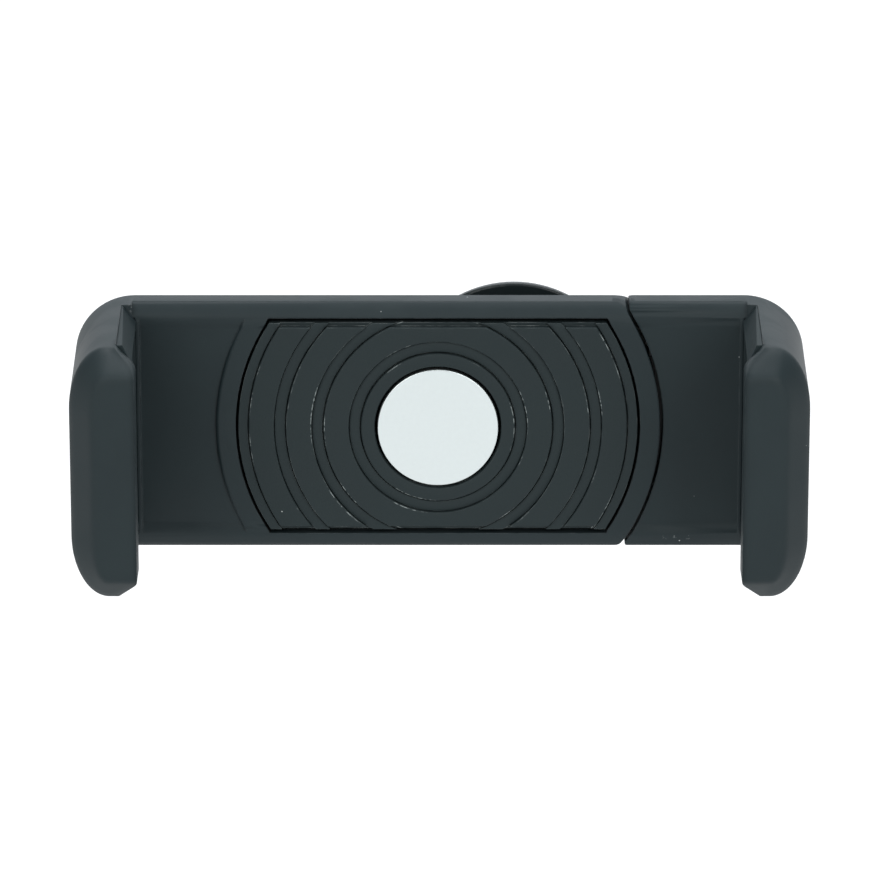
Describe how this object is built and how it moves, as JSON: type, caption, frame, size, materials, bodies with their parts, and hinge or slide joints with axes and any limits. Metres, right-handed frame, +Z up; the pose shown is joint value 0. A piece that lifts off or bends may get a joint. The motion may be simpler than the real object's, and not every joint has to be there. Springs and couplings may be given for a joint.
{
  "type": "air vent phone holder",
  "caption": "Car phone holder that clips onto an air vent blade: one fixed and one sprung sliding jaw grip a phone against a ribbed rubber pad, on a rear swivel clip.",
  "frame": {"origin": "centre of the phone face, where the pad's ribs and the round disc lie in one plane", "axes": "+X to the right as the driver sees the holder, the way the jaw slides out; +Y away from the driver, into the vent; +Z up"},
  "size_m": [0.0663, 0.0419, 0.023],
  "materials": {
    "shell_plastic": "fine spark-eroded texture, satin",
    "pad_rubber": "smooth matt",
    "grip_rubber": "smooth matt",
    "disc_metal": "fine satin, clear anodised",
    "tongue_nylon": "plain moulded",
    "clip_plastic": "plain moulded",
    "sleeve_rubber": "soft matt",
    "washer_nylon": "natural nylon",
    "black_steel": "black oxide",
    "bright_steel": "zinc plated"
  },
  "bodies": {
    "clip": {"clip_core": "clip_plastic", "pivot_screw": "bright_steel", "retaining_washer": "bright_steel", "spring_washer": "bright_steel", "upper_left_sleeve": "sleeve_rubber", "upper_right_sleeve": "sleeve_rubber", "lower_left_sleeve": "sleeve_rubber", "lower_right_sleeve": "sleeve_rubber"},
    "housing": {"main_housing": "shell_plastic", "rear_cover": "shell_plastic", "face_pad": "pad_rubber", "badge_disc": "disc_metal", "left_grip": "grip_rubber", "cover_screws": "black_steel", "spring_anchor_pins": "bright_steel", "friction_washer": "washer_nylon", "upper_return_spring": "bright_steel", "lower_return_spring": "bright_steel"},
    "jaw": {"jaw_shell": "shell_plastic", "jaw_rear_cover": "shell_plastic", "slide_tongue": "tongue_nylon", "right_grip": "grip_rubber", "jaw_screws": "black_steel", "spring_hook_pins": "bright_steel"}
  },
  "joints": [
    {"name": "clip_swivel", "type": "hinge", "parent": "clip", "child": "housing", "pos_m": [0.007, 0.0103, 0], "axis": [0, 1, 0], "continuous": true},
    {"name": "jaw_slide", "type": "slide", "parent": "housing", "child": "jaw", "axis": [1, 0, 0], "range_m": [0, 0.028], "stiffness_N_per_m": 300, "springref_m": -0.01, "deforming": ["upper_return_spring", "lower_return_spring"]}
  ]
}
